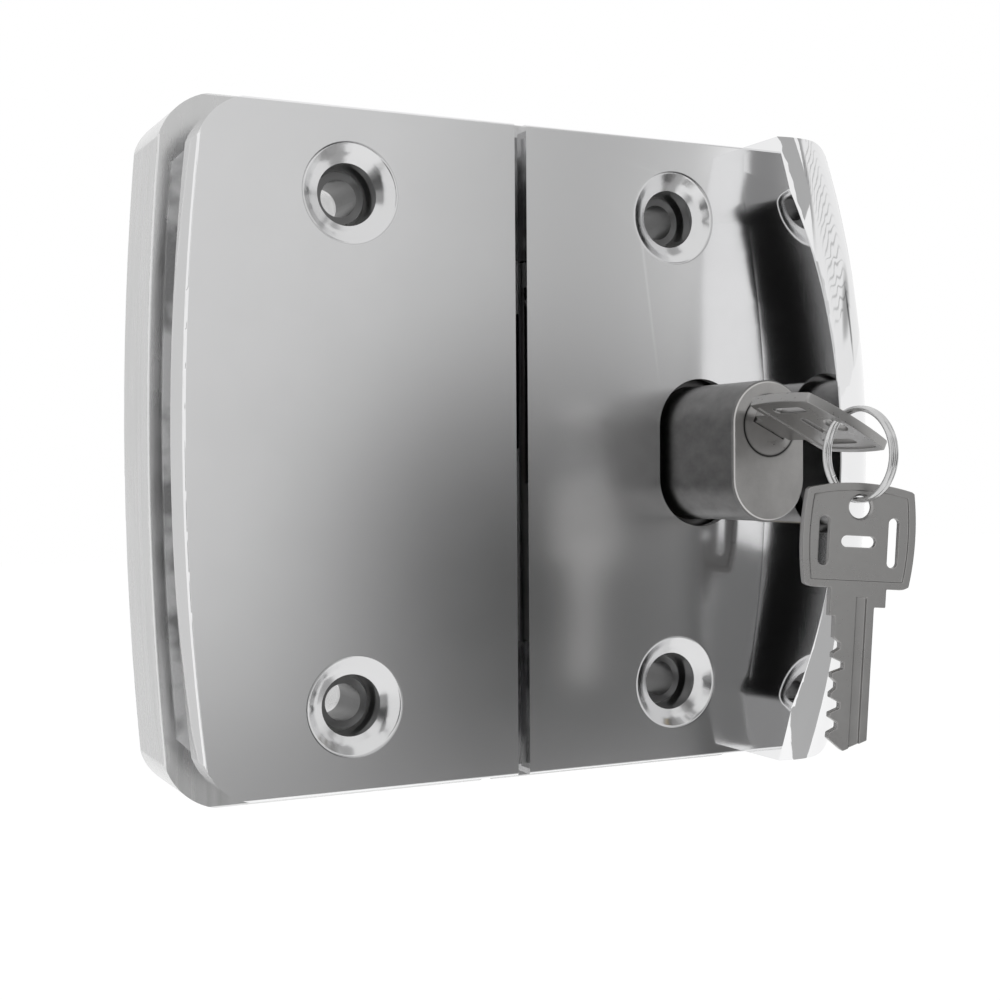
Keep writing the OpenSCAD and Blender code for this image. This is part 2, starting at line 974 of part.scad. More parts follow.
module cam_gear() {
  color("dimgray")
    translate([plug_x, 0, plug_z])
      difference() {
        union() {
          y_slab(-hook_t / 2, hook_t / 2)
            intersection() {
              rotate([0, 0, 180])
                gear_outline(cam_teeth);
              wedge(cam_first, cam_last, 40);
            }
          y_bar(cam_hub_r, -hook_t / 2 - 1, hook_t / 2);
        }
        rotate([0, -key_turn, 0])
          block(-tail_w / 2, tail_w / 2, -far, far, -tail_w / 2, tail_w / 2);
      }
}

module plug() {
  color("goldenrod")
    translate([plug_x, 0, plug_z])
      rotate([0, -key_turn, 0])
        difference() {
          union() {
            y_bar(plug_r - fit_play, -cyl_face, collar_y);
            block(-tail_w / 2, tail_w / 2, collar_y - 1, hook_t / 2, -tail_w / 2, tail_w / 2);
          }
          difference() {
            block(-keyway_w / 2, keyway_w / 2, -cyl_face - 1, keyway_end_y,
              blade_mid - keyway_h / 2, blade_mid + keyway_h / 2);
            block(keyway_w / 2 - 0.4, keyway_w / 2 + eps, -cyl_face - 2, keyway_end_y + 1,
              0.9, 2.1);
          }
          difference() {
            y_bar(plug_r + 1, clip_y - 0.05, clip_y + clip_t + 0.05);
            y_bar(plug_r - 1.2, clip_y - 1, clip_y + clip_t + 1);
          }
          at_pins()
            translate([0, 0, -plug_r - 1])
              cylinder(r = pin_r + 0.05, h = plug_r + 1 + blade_low);
          y_bar(2.05, -3, hook_t);
        }
}

module at_pins() {
  for (i = [0 : pin_count - 1])
    translate([0, -cyl_face + pin_first + i * pin_pitch, 0])
      children();
}

module bottom_pins() {
  color("goldenrod")
    translate([plug_x, 0, plug_z])
      rotate([0, -key_turn, 0])
        at_pins()
          translate([0, 0, -plug_r + pin_shear])
            cylinder(r = pin_r, h = plug_r - pin_shear + blade_low - 0.3);
}

module driver_pins() {
  color("goldenrod")
    translate([plug_x, 0, plug_z])
      at_pins()
        translate([0, 0, -plug_r - pin_shear - pin_len])
          cylinder(r = pin_r, h = pin_len);
}

module pin_springs() {
  low = cap_top_z - plug_z;
  color("lightgray")
    translate([plug_x, 0, plug_z])
      at_pins()
        translate([0, 0, low])
          difference() {
            cylinder(r = pin_r - 0.1, h = -plug_r - pin_shear - pin_len - low);
            translate([0, 0, -1])
              cylinder(r = pin_r - 0.5, h = far);
          }
}

module chamber_cap() {
  color("goldenrod")
    block(plug_x - 1.8, plug_x + 1.8, -cyl_face + pin_first - 3,
      -cyl_face + pin_first + (pin_count - 1) * pin_pitch + 3, cap_top_z - 1.4, cap_top_z);
}

module cylinder_body() {
  color("silver")
    difference() {
      union() {
        translate([cyl_x, 0, cyl_z]) {
          y_slab(-cyl_face + 0.6, cyl_rear_y)
            oval(cyl_w, cyl_h);
          y_slab(-cyl_face, -cyl_face + 0.6 + eps)
            oval(cyl_w - 1.2, cyl_h - 1.2);
          for (s = [-1, 1])
            translate([0, 0, s * cyl_off])
              y_cone(cyl_r - 0.6, cyl_r, -cyl_face, -cyl_face + 0.6);
          translate([0, 0, -cyl_off])
            linear_extrude(height = 2 * cyl_off)
              polygon([[-cyl_r + 0.6, -cyl_face], [cyl_r - 0.6, -cyl_face],
                [cyl_r, -cyl_face + 0.6], [-cyl_r, -cyl_face + 0.6]]);
        }
        block(cyl_x - flange_w / 2, cyl_x + flange_w / 2 - 3.5, flange_y, lid_y,
          cyl_z - flange_h / 2, cyl_z + flange_h / 2);
      }
      translate([plug_x, 0, plug_z]) {
        y_bar(plug_r, -cyl_face - 1, 0);
        at_pins()
          translate([0, 0, cap_top_z - plug_z - eps])
            cylinder(r = pin_r + 0.1, h = plug_z - cap_top_z - 2);
      }
      block(plug_x - 1.85, plug_x + 1.85, -cyl_face + pin_first - 3.05,
        -cyl_face + pin_first + (pin_count - 1) * pin_pitch + 3.05, -far, cap_top_z);
      at_flange_screws()
        y_bar(1.3, flange_y - 1, 0);
    }
}

module at_flange_screws() {
  for (sx = [-1, 1])
    for (sz = [-1, 1])
      translate([cyl_x - 1.7 + sx * 10.5, 0, cyl_z + sz * (flange_h / 2 - 3)])
        children();
}

module cylinder_screws() {
  color("gray")
    at_flange_screws()
      head_screw(flange_y, box_front_y, 1.25, 2.4, 1.5);
}

module plug_clip() {
  color("lightgray")
    translate([plug_x, 0, plug_z])
      rotate([0, -key_turn, 0])
        difference() {
          y_bar(plug_r + 1.6, clip_y, clip_y + clip_t);
          y_bar(plug_r - 1.15, clip_y - 1, clip_y + clip_t + 1);
          block(-far, far, clip_y - 1, clip_y + clip_t + 1, -far, -plug_r + 3);
        }
}

module cam_washer() {
  color("lightgray")
    translate([plug_x, 0, plug_z])
      difference() {
        y_bar(6.5, hook_t / 2, hook_t / 2 + 0.8);
        y_bar(2.2, 0, hook_t);
      }
}

module cam_screw() {
  color("gray")
    translate([plug_x, 0, plug_z])
      difference() {
        union() {
          y_bar(2, -2.5, hook_t / 2 + 1);
          y_bar(4.2, hook_t / 2 + 0.8, hook_t / 2 + 3);
        }
        y_slab(hook_t / 2 + 1.6, hook_t)
          circle(r = 1.8, $fn = 6);
      }
}

// Flat outline of the key bow: gently curved sides and end, small round corners
module bow_outline(inset) {
  w = bow_w / 2 - inset + bow_slack;
  r = bow_corner - inset;
  flat_w = bow_w / 2 - bow_corner;
  end_r = bow_end_r - inset;
  x0 = neck_l + inset;
  x1 = key_end - bow_end_r + sqrt(end_r * end_r - flat_w * flat_w);
  intersection() {
    union() {
      translate([x0, -w + r])
        square([x1 - x0, 2 * (w - r)]);
      translate([x0 + r, -w])
        square([x1 - x0 - 2 * r, 2 * w]);
      translate([x0 + r, -flat_w])
        square([x1 - x0, 2 * flat_w]);
      for (x = [x0 + r, x1 - r], s = [-1, 1])
        translate([x, s * (w - r)])
          circle(r = r);
    }
    translate([key_end - bow_end_r, 0])
      circle(r = end_r, $fn = 180);
    translate([neck_l + bow_l / 2, bow_side_r - bow_w / 2])
      circle(r = bow_side_r - inset, $fn = 180);
    translate([neck_l + bow_l / 2, bow_w / 2 - bow_side_r])
      circle(r = bow_side_r - inset, $fn = 180);
  }
}

// Flat outline of the blade, with its cuts on the lower side
module blade_outline() {
  cuts = [1.6, 2.6, 1.2, 2.2, 1.8];
  top = blade_top;
  low = blade_low;
  polygon(concat(
    [[stop_in + 1, top], [-blade_l + 2.4, top], [-blade_l, low + 3.4], [-blade_l + 2.6, low]],
    [for (i = [pin_count - 1 : -1 : 0]) each [
      [-pin_first - i * pin_pitch - 1.6, low + 0.1],
      [-pin_first - i * pin_pitch - 0.6, low + cuts[i]],
      [-pin_first - i * pin_pitch + 0.6, low + cuts[i]],
      [-pin_first - i * pin_pitch + 1.6, low + 0.1]]],
    [[stop_in + 1, low]]));
}

// One key: the blade runs to minus X from the shoulder, the bow to plus X, the cuts face minus Y
module key_shape() {
  difference() {
    translate([0, 0, -key_t / 2])
      linear_extrude(height = key_t) {
        bow_outline(0);
        translate([stop_in, stop_low])
          square([neck_l + 4 - stop_in, stop_top - stop_low]);
        translate([1, stop_low])
          square([neck_l, -stop_low]);
        blade_outline();
      }
    both_ends()
      translate([0, 0, key_t / 2 - rim_h])
        linear_extrude(height = 2)
          bow_outline(rim_w);
    translate([key_end - ring_hole_in, 0, 0]) {
      translate([0, 0, -key_t])
        cylinder(r = ring_hole_d / 2, h = 2 * key_t);
      both_ends()
        translate([0, 0, key_t / 2 - rim_h - hole_bevel])
          cylinder(r1 = ring_hole_d / 2, r2 = ring_hole_d / 2 + 2 * hole_bevel,
            h = 2 * hole_bevel);
    }
    translate([slot_mid, 0, -key_t])
      linear_extrude(height = 2 * key_t) {
        oval(2.4, 7.5);
        for (s = [-1, 1])
          translate([0, s * slot_side])
            rotate(90)
              oval(2.2, 10.5);
      }
    translate([-blade_l - 1, 0.2, -key_t / 2 - 1])
      cube([blade_l + stop_in + 3, 2.1, 1.55]);
  }
}

module key() {
  color("silver")
    translate([plug_x, -cyl_face, plug_z])
      rotate([0, -key_turn, 0])
        rotate([90, 0, -90])
          key_shape();
}

// Two turns of wire side by side, each with its own end gap
module split_ring() {
  color("silver")
    translate([ring_x, ring_y, ring_z])
      rotate([0, 0, ring_yaw])
        rotate([0, 90, 0])
          difference() {
            rotate_extrude($fn = 120)
              for (s = [-1, 1])
                translate([ring_mid_r, s * wire_pitch / 2])
                  circle(r = ring_wire / 2, $fn = 24);
            for (s = [-1, 1])
              rotate([0, 0, 25 * s + 35])
                translate([ring_mid_r - 2, -0.2, s < 0 ? -3 : 0])
                  cube([4, 0.4, 3]);
          }
}

module spare_key() {
  color("silver")
    translate([ring_x, ring_y, ring_z - ring_mid_r])
      rotate([0, 0, spare_yaw])
        rotate([0, -90 + spare_lean, 0])
          rotate([-90, 0, 0])
            translate([-key_end + ring_hole_in - spare_hang, 0, 0])
              key_shape();
}

strike_front_cover();
strike_rear_cover();
strike_core();
strike_plate();
strike_plate_screws();
strike_core_screws();
strike_front_gasket();
strike_rear_gasket();
strike_sleeves();
strike_bushes();
lock_front_cover();
pull_grip();
pull_screws();
lock_rear_cover();
lock_case();
case_lid();
case_screws();
faceplate();
faceplate_screws();
hook_bolt();
hook_pin();
hook_spacers();
cam_gear();
cam_washer();
cam_screw();
stop_pins();
cylinder_body();
cylinder_screws();
plug();
plug_clip();
bottom_pins();
driver_pins();
pin_springs();
chamber_cap();
lock_front_gasket();
lock_rear_gasket();
lock_sleeves();
lock_bushes();
key();
split_ring();
spare_key();
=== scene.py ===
"""Sliding glass lock: chrome covers and grip, nickel cylinder and keys, and their studio."""

import logging
import math
from dataclasses import dataclass
from enum import Enum
from typing import Any, Optional

import bpy
from mathutils import Matrix, Vector

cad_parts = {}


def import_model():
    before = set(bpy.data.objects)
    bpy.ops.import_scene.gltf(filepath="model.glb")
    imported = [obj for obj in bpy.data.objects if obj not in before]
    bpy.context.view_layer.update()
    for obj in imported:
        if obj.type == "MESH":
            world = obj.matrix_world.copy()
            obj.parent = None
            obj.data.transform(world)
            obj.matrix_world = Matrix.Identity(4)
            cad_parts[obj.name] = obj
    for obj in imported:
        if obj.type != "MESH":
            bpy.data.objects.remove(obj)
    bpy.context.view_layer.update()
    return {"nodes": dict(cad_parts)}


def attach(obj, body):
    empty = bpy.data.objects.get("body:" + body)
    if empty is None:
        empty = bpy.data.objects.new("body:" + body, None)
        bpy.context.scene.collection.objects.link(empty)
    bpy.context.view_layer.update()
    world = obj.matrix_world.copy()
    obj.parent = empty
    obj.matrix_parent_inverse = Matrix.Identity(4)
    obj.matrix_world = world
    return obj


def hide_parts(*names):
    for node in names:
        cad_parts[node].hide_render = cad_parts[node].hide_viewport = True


MM = 0.001
Vec3 = tuple[float, float, float]
log = logging.getLogger("glass_lock")


# Shader expressions


class Wire:
    """A shader socket that takes part in Python expressions."""

    def __init__(self, graph: "Graph", socket: bpy.types.NodeSocket) -> None:
        """Keeps the socket and the graph that new nodes go to."""
        self.graph = graph
        self.socket = socket

    def _math(self, operation: str, first: Any, second: Any) -> "Wire":
        """Adds one Math node.

        Args:
            operation: the node's operation.
            first: the upper value or wire.
            second: the lower value or wire.

        Returns:
            The node's output.
        """
        return self.graph.add("ShaderNodeMath", {"operation": operation}, {0: first, 1: second})

    def __add__(self, other: Any) -> "Wire":
        """Sum."""
        return self._math("ADD", self, other)

    def __radd__(self, other: Any) -> "Wire":
        """Sum with a number on the left."""
        return self._math("ADD", other, self)

    def __sub__(self, other: Any) -> "Wire":
        """Difference."""
        return self._math("SUBTRACT", self, other)

    def __rsub__(self, other: Any) -> "Wire":
        """Difference from a number."""
        return self._math("SUBTRACT", other, self)

    def __mul__(self, other: Any) -> "Wire":
        """Product."""
        return self._math("MULTIPLY", self, other)

    def __pow__(self, other: Any) -> "Wire":
        """Power."""
        return self._math("POWER", self, other)

    def __rpow__(self, other: Any) -> "Wire":
        """Power of a number."""
        return self._math("POWER", other, self)

    def __truediv__(self, other: Any) -> "Wire":
        """Quotient."""
        return self._math("DIVIDE", self, other)

    def __rtruediv__(self, other: Any) -> "Wire":
        """Quotient of a number."""
        return self._math("DIVIDE", other, self)

    def __neg__(self) -> "Wire":
        """The same value with its sign turned."""
        return self._math("MULTIPLY", self, -1.0)

    def __abs__(self) -> "Wire":
        """The same value without its sign."""
        return (self**2.0) ** 0.5

    def below(self, other: Any) -> "Wire":
        """1 where the value is less than the other, else 0."""
        return self._math("LESS_THAN", self, other)


def length(first: Wire, second: Wire) -> Wire:
    """Length of the vector with two given coordinates."""
    return (first**2.0 + second**2.0) ** 0.5


class Graph:
    """The node tree of one material or world."""

    def __init__(self, tree: bpy.types.NodeTree) -> None:
        """Empties the tree and keeps it."""
        self.tree = tree
        tree.nodes.clear()

    def node(self, kind: str, settings: dict[str, Any], inputs: dict[Any, Any]) -> bpy.types.Node:
        """Adds a node with its settings and then its inputs.

        Args:
            kind: the node's type name.
            settings: attributes of the node.
            inputs: values or wires by socket name or number.

        Returns:
            The new node.
        """
        made = self.tree.nodes.new(kind)
        for name, value in settings.items():
            setattr(made, name, value)
        for name, value in inputs.items():
            if isinstance(value, Wire):
                self.tree.links.new(value.socket, made.inputs[name])
            else:
                made.inputs[name].default_value = value
        return made

    def add(
        self, kind: str, settings: dict[str, Any], inputs: dict[Any, Any], output: Any = 0
    ) -> Wire:
        """Adds a node and returns one output.

        Args:
            kind: the node's type name.
            settings: attributes of the node.
            inputs: values or wires by socket name or number.
            output: name or number of the output.

        Returns:
            That output as a wire.
        """
        return Wire(self, self.node(kind, settings, inputs).outputs[output])

    def along(self, axis: str) -> Wire:
        """Object coordinate along one axis, in metres."""
        spot = self.add("ShaderNodeTexCoord", {}, {}, "Object")
        return self.add("ShaderNodeSeparateXYZ", {}, {0: spot}, axis)

    def place(self, scale: Vec3 = (1.0, 1.0, 1.0), turn: Vec3 = (0.0, 0.0, 0.0)) -> Wire:
        """Object coordinates through a Mapping node.

        Args:
            scale: stretch along each axis.
            turn: rotation in radians.

        Returns:
            The mapped vector.
        """
        spot = self.add("ShaderNodeTexCoord", {}, {}, "Object")
        return self.add("ShaderNodeMapping", {}, {"Vector": spot, "Scale": scale, "Rotation": turn})

    def noise(self, where: Wire, size_mm: float, detail: float = 3.0, rough: float = 0.5) -> Wire:
        """Smooth noise whose blobs are about a given size.

        Args:
            where: the coordinates.
            size_mm: size of a blob.
            detail: octaves.
            rough: strength of the finer octaves.

        Returns:
            A value from 0 to 1.
        """
        return self.add(
            "ShaderNodeTexNoise",
            {},
            {"Vector": where, "Scale": 1.0 / (size_mm * MM), "Detail": detail, "Roughness": rough},
        )

    def ramp(self, value: Wire, low: float, high: float) -> Wire:
        """Grey ramp that is black up to one value and white from another.

        Args:
            value: the wire to read.
            low: where the rise starts.
            high: where the rise ends.

        Returns:
            The ramp's output.
        """
        made = self.node("ShaderNodeValToRGB", {}, {0: value})
        for stop, position in zip(made.color_ramp.elements, (low, high)):
            stop.position = position
        return Wire(self, made.outputs[0])

    def blend(self, factor: Any, first: Vec3, second: Vec3) -> Wire:
        """Mix of two plain colours.

        Args:
            factor: 0 for the first colour, 1 for the second.
            first: a colour.
            second: a colour.

        Returns:
            The mixed colour.
        """
        return self.mix(factor, (*first, 1.0), (*second, 1.0))

    def mix(self, factor: Any, first: Any, second: Any) -> Wire:
        """Mix of two colours with alpha, or of wires.

        Args:
            factor: 0 for the first, 1 for the second.
            first: a colour or wire.
            second: a colour or wire.

        Returns:
            The mixed colour.
        """
        made = self.node("ShaderNodeMix", {"data_type": "RGBA"}, {0: factor, 6: first, 7: second})
        return Wire(self, made.outputs[2])

    def bump(self, height: Wire, depth_mm: float, under: Optional[Wire] = None) -> Wire:
        """Bump of a given depth.

        Args:
            height: value from 0 to 1.
            depth_mm: height of the bump where the value is 1.
            under: a bump that this one lies on.

        Returns:
            The normal.
        """
        inputs: dict[Any, Any] = {"Strength": 1.0, "Distance": depth_mm * MM, "Height": height}
        if under is not None:
            inputs["Normal"] = under
        return self.add("ShaderNodeBump", {}, inputs)


def new_material(name: str) -> tuple[bpy.types.Material, Graph]:
    """Makes a material with an empty graph.

    Args:
        name: the material's name.

    Returns:
        The material and its graph.
    """
    material = bpy.data.materials.new(name)
    material.use_nodes = True
    return material, Graph(material.node_tree)


# Finishes. A "share" is how much of a pattern goes in, a "gloss" how far it moves the roughness, a
# "shade" how much of the finish's own colour is left, and a "stretch" a scale along Z.


@dataclass(frozen=True)
class Finish:
    """What every finish has: a name, a colour and a base roughness."""

    name: str
    color: Vec3
    roughness: float

    def build(self) -> bpy.types.Material:
        """Makes the material.

        Returns:
            The new material, with its output linked.
        """
        material, graph = new_material(self.name)
        surface = graph.add("ShaderNodeBsdfPrincipled", {}, self.sockets(graph))
        graph.node("ShaderNodeOutputMaterial", {}, {"Surface": surface})
        return material

    def sockets(self, graph: Graph) -> dict[str, Any]:
        """Values and wires of the shader's sockets."""
        raise NotImplementedError

    def shaded(self, shade: float) -> Vec3:
        """The finish's colour, darkened to a share of itself."""
        red, green, blue = self.color
        return (red * shade, green * shade, blue * shade)


@dataclass(frozen=True)
class PolishedChrome(Finish):
    """Mirror chrome: buffing waves, a thin haze and hair-fine wipe marks."""

    wave_mm: float = 26.0
    wave_depth_mm: float = 0.012
    haze: float = 0.02
    haze_mm: float = 30.0
    mark_depth_mm: float = 0.0001
    mark_mm: float = 5.0
    mark_stretch: float = 9.0
    mark_tilt_deg: float = 24.0
    mark_share: float = 0.5
    smear_shade: float = 0.93
    smear_share: float = 0.6

    def sockets(self, graph: Graph) -> dict[str, Any]:
        """Wipe marks and haze in the roughness, buffing waves in the normal.

        Args:
            graph: the material's graph.

        Returns:
            The sockets of the shader.
        """
        flat = graph.place()
        tilt = (0.0, math.radians(self.mark_tilt_deg), 0.0)
        wiped = graph.place((1.0, 1.0, self.mark_stretch), tilt)
        marks = graph.noise(wiped, self.mark_mm, detail=8.0, rough=0.75)
        fine = graph.ramp(marks, low=0.5, high=0.78)
        haze = graph.noise(flat, self.haze_mm, detail=5.0, rough=0.6)
        smear = graph.ramp(haze, low=0.35, high=0.8)
        smeared = self.shaded(self.smear_shade)
        waves = graph.bump(graph.noise(flat, self.wave_mm, detail=1.0), self.wave_depth_mm)
        gloss = smear * self.haze
        return {
            "Base Color": graph.blend(smear * self.smear_share, self.color, smeared),
            "Metallic": 1.0,
            "Roughness": self.level(graph) + gloss + fine * (self.haze * self.mark_share),
            "Normal": graph.bump(marks, self.mark_depth_mm, waves),
        }

    def level(self, graph: Graph) -> Any:
        """Roughness of the bare metal."""
        return self.roughness


@dataclass(frozen=True)
class FacedChrome(PolishedChrome):
    """Chrome with a softly hazed face, a clear strip by the grip, and dished bolt holes darkened in
    colour as painted shade.
    """

    face_y_mm: float = -15.2
    face_roughness: float = 0.21
    strip_x_mm: float = 50.0
    strip_fade_mm: float = 3.0
    strip_roughness: float = 0.02
    hole_mm: tuple[float, float] = (41.5, 56.2)
    dish_r_mm: float = 12.6
    dish_painted_shade: float = 0.78
    dish_roughness: float = 0.16

    def sockets(self, graph: Graph) -> dict[str, Any]:
        """The chrome's sockets, with painted shade darkening the dishes round the bolt holes.

        Args:
            graph: the material's graph.

        Returns:
            The sockets of the shader.
        """
        found = super().sockets(graph)
        # Painted shade: the recessed dishes round the bolt holes are darkened in colour.
        grey = (*self.shaded(self.dish_painted_shade), 1.0)
        found["Base Color"] = graph.mix(self.dish(graph), found["Base Color"], grey)
        return found

    def face(self, graph: Graph) -> Wire:
        """1 on the flat face, 0 behind its level."""
        return graph.along("Y").below(self.face_y_mm * MM)

    def dish(self, graph: Graph) -> Wire:
        """1 in the dishes round the bolt holes, else 0."""
        dx = abs(graph.along("X")) - self.hole_mm[0] * MM
        dz = abs(graph.along("Z")) - self.hole_mm[1] * MM
        near = length(dx, dz).below(self.dish_r_mm * MM)
        return near * (1.0 - self.face(graph))

    def level(self, graph: Graph) -> Wire:
        """Hazed on the face, clear on its strip by the grip, and polished behind it.

        Args:
            graph: the material's graph.

        Returns:
            The roughness.
        """
        step = (graph.along("X") - self.strip_x_mm * MM) / (self.strip_fade_mm * MM)
        rubbed = 1.0 / (math.e ** -step + 1.0)
        haze = rubbed * (self.strip_roughness - self.face_roughness) + self.face_roughness
        bare = self.dish(graph) * (self.dish_roughness - self.roughness) + self.roughness
        return self.face(graph) * (haze - self.roughness) + bare


@dataclass(frozen=True)
class SatinChrome(Finish):
    """Chrome over a drawn skin: long soft streaks up and down."""

    streak_mm: float = 2.4
    streak_stretch: float = 0.05
    streak_share: float = 0.6
    streak_gloss: float = 0.16
    cloud_mm: float = 16.0
    cloud_stretch: float = 0.4
    cloud_share: float = 0.4
    cloud_gloss: float = 0.08
    cloud_shade: float = 0.82
    pebble_mm: float = 0.45
    pebble_depth_mm: float = 0.004

    def sockets(self, graph: Graph) -> dict[str, Any]:
        """Streaks and clouds in the colour and roughness, a fine pebble in the normal.

        Args:
            graph: the material's graph.

        Returns:
            The sockets of the shader.
        """
        drawn = graph.place((1.0, 1.0, self.streak_stretch))
        streaks = graph.noise(drawn, self.streak_mm, rough=0.6)
        pebble = graph.noise(graph.place(), self.pebble_mm, rough=0.6)
        tall = graph.place((1.0, 1.0, self.cloud_stretch))
        cloud = graph.noise(tall, self.cloud_mm, detail=4.0, rough=0.6)
        pattern = streaks * self.streak_share + cloud * self.cloud_share
        gloss = self.roughness + (streaks - 0.5) * self.streak_gloss
        return {
            "Base Color": graph.blend(pattern, self.shaded(self.cloud_shade), self.color),
            "Metallic": 1.0,
            "Roughness": gloss + (cloud - 0.5) * self.cloud_gloss,
            "Normal": graph.bump(pebble, self.pebble_depth_mm),
        }


@dataclass(frozen=True)
class BrushedMetal(Finish):
    """Satin metal with grain along one axis, worn a little darker in places."""

    grain: Vec3 = (1.0, 1.0, 1.0)
    grain_mm: float = 0.35
    grain_depth_mm: float = 0.006
    grain_share: float = 0.3
    grain_gloss: float = 0.2
    cloud_mm: float = 7.0
    cloud_share: float = 0.7
    cloud_gloss: float = 0.06
    mottle: float = 0.12
    mottle_reach: float = 2.2

    def sockets(self, graph: Graph) -> dict[str, Any]:
        """Grain in the roughness and normal, soft mottling in the colour.

        Args:
            graph: the material's graph.

        Returns:
            The sockets of the shader.
        """
        grain = graph.noise(graph.place(self.grain), self.grain_mm, detail=4.0, rough=0.65)
        blobs = graph.noise(graph.place(), self.cloud_mm, detail=5.0, rough=0.6)
        cloud = graph.ramp(blobs, low=0.3, high=0.75)
        pattern = cloud * self.cloud_share + grain * self.grain_share
        dark = self.shaded(1.0 - self.mottle_reach * self.mottle)
        gloss = self.roughness + (grain - 0.5) * self.grain_gloss
        return {
            "Base Color": self.tone(graph, graph.blend(pattern, dark, self.color)),
            "Metallic": 1.0,
            "Roughness": gloss + cloud * self.cloud_gloss,
            "Normal": graph.bump(grain, self.grain_depth_mm),
        }

    def tone(self, graph: Graph, color: Wire) -> Wire:
        """The mottled colour, as it is."""
        return color


@dataclass(frozen=True)
class CylinderNickel(BrushedMetal):
    """Satin nickel with painted shade darkening its sides behind the face, and a painted shadow
    line in the gap round the plug.
    """

    face_y_mm: float = -43.0
    side_shade_color: Vec3 = (0.09, 0.09, 0.09)
    side_shade_mm: float = 5.0
    side_shade_stretch: float = 1.6
    side_shade_least: float = 0.72
    side_shade_share: float = 0.28
    plug_mm: tuple[float, float] = (49.1, 5.3)
    plug_r_mm: float = 7.0
    shadow_line_mm: float = 0.3
    shadow_line_color: Vec3 = (0.02, 0.02, 0.02)
    shadow_line_share: float = 0.9

    def tone(self, graph: Graph, color: Wire) -> Wire:
        """Paints shade on the sides behind the face and a shadow line in the gap round the plug.

        Args:
            graph: the material's graph.
            color: the mottled colour.

        Returns:
            The toned colour.
        """
        # Painted shade: the sides behind the face are darkened in colour, unevenly in soft clouds.
        stretched = graph.place((1.0, 1.0, self.side_shade_stretch))
        cloud = graph.noise(stretched, self.side_shade_mm, detail=4.0, rough=0.6)
        behind = 1.0 - graph.along("Y").below(self.face_y_mm * MM)
        side_shade = behind * (self.side_shade_least + cloud * self.side_shade_share)
        toned = graph.mix(side_shade, color, (*self.side_shade_color, 1.0))
        # Painted shadow: a thin dark line in the gap round the plug, in place of a groove's shade.
        dx = graph.along("X") - self.plug_mm[0] * MM
        dz = graph.along("Z") - self.plug_mm[1] * MM
        off = (length(dx, dz) - self.plug_r_mm * MM) / (self.shadow_line_mm * MM)
        line = math.e ** -(off**2.0)
        return graph.mix(line * self.shadow_line_share, toned, (*self.shadow_line_color, 1.0))


@dataclass(frozen=True)
class CastMetal(Finish):
    """Die-cast zinc with a fine orange-peel skin."""

    skin_mm: float = 0.9
    skin_depth_mm: float = 0.03
    patch_mm: float = 12.0
    patch_shade: float = 0.72
    patch_gloss: float = 0.25

    def sockets(self, graph: Graph) -> dict[str, Any]:
        """Orange peel in the normal, patches in the colour and roughness.

        Args:
            graph: the material's graph.

        Returns:
            The sockets of the shader.
        """
        flat = graph.place()
        skin = graph.noise(flat, self.skin_mm)
        patch = graph.noise(flat, self.patch_mm, detail=4.0)
        return {
            "Base Color": graph.blend(patch, self.shaded(self.patch_shade), self.color),
            "Metallic": 1.0,
            "Roughness": self.roughness + (patch - 0.5) * self.patch_gloss,
            "Normal": graph.bump(skin, self.skin_depth_mm),
        }


@dataclass(frozen=True)
class SoftMatt(Finish):
    """Rubber or nylon: not a metal, with a fine grain."""

    blotch: float = 0.2
    blotch_mm: float = 9.0
    blotch_share: float = 0.7
    grain_mm: float = 0.5
    grain_depth_mm: float = 0.015
    grain_share: float = 0.3
    grain_gloss: float = 0.2

    def sockets(self, graph: Graph) -> dict[str, Any]:
        """Fine grain in the normal and the roughness, blotches in the colour.

        Args:
            graph: the material's graph.

        Returns:
            The sockets of the shader.
        """
        flat = graph.place()
        grain = graph.noise(flat, self.grain_mm, detail=4.0)
        blotch = graph.ramp(graph.noise(flat, self.blotch_mm, detail=2.0), low=0.42, high=0.58)
        pattern = grain * self.grain_share + blotch * self.blotch_share
        return {
            "Base Color": graph.blend(pattern, self.shaded(1.0 - self.blotch), self.color),
            "Roughness": self.roughness + (grain - 0.5) * self.grain_gloss,
            "Normal": graph.bump(grain, self.grain_depth_mm),
        }


class Metal(Enum):
    """The finishes of the lock's pieces: name, colour, roughness and what sets each apart."""

    PLATE = FacedChrome("plate_chrome", (0.84, 0.84, 0.845), 0.045, mark_depth_mm=0.00002)
    GRIP = PolishedChrome("grip_chrome", (0.84, 0.84, 0.845), 0.03, wave_mm=30.0)
    REAR = SatinChrome("rear_chrome", (0.8, 0.8, 0.8), 0.26)
    CYLINDER = CylinderNickel("cylinder_nickel", (0.6, 0.59, 0.58), 0.3, grain_mm=0.5)
    NICKEL_KEY = BrushedMetal(
        "nickel_key", (0.37, 0.365, 0.36), 0.28, grain_mm=0.8, grain_depth_mm=0.004, mottle=0.05
    )
    RING_WIRE = BrushedMetal("ring_wire", (0.66, 0.66, 0.66), 0.14, grain_mm=0.6)
    STEEL = BrushedMetal("plain_steel", (0.5, 0.5, 0.5), 0.32, grain=(1.0, 1.0, 8.0), grain_mm=1.2)
    SLEEVE = BrushedMetal("sleeve_steel", (0.2, 0.2, 0.2), 0.3, grain=(1.0, 6.0, 1.0), grain_mm=1.0)
    BRASS = BrushedMetal(
        "turned_brass", (0.7, 0.55, 0.28), 0.26, grain=(1.0, 8.0, 1.0), grain_mm=0.8
    )
    ZINC = CastMetal("cast_zinc", (0.4, 0.41, 0.42), 0.42)
    # Painted light: the gaskets' colour is lighter than the rubber's own, so the shaded gap between
    # the covers reads as lit.
    RUBBER = SoftMatt("soft_sheet", (0.5, 0.5, 0.505), 0.6, blotch=0.75)
    NYLON = SoftMatt("bush_nylon", (0.75, 0.75, 0.74), 0.5)


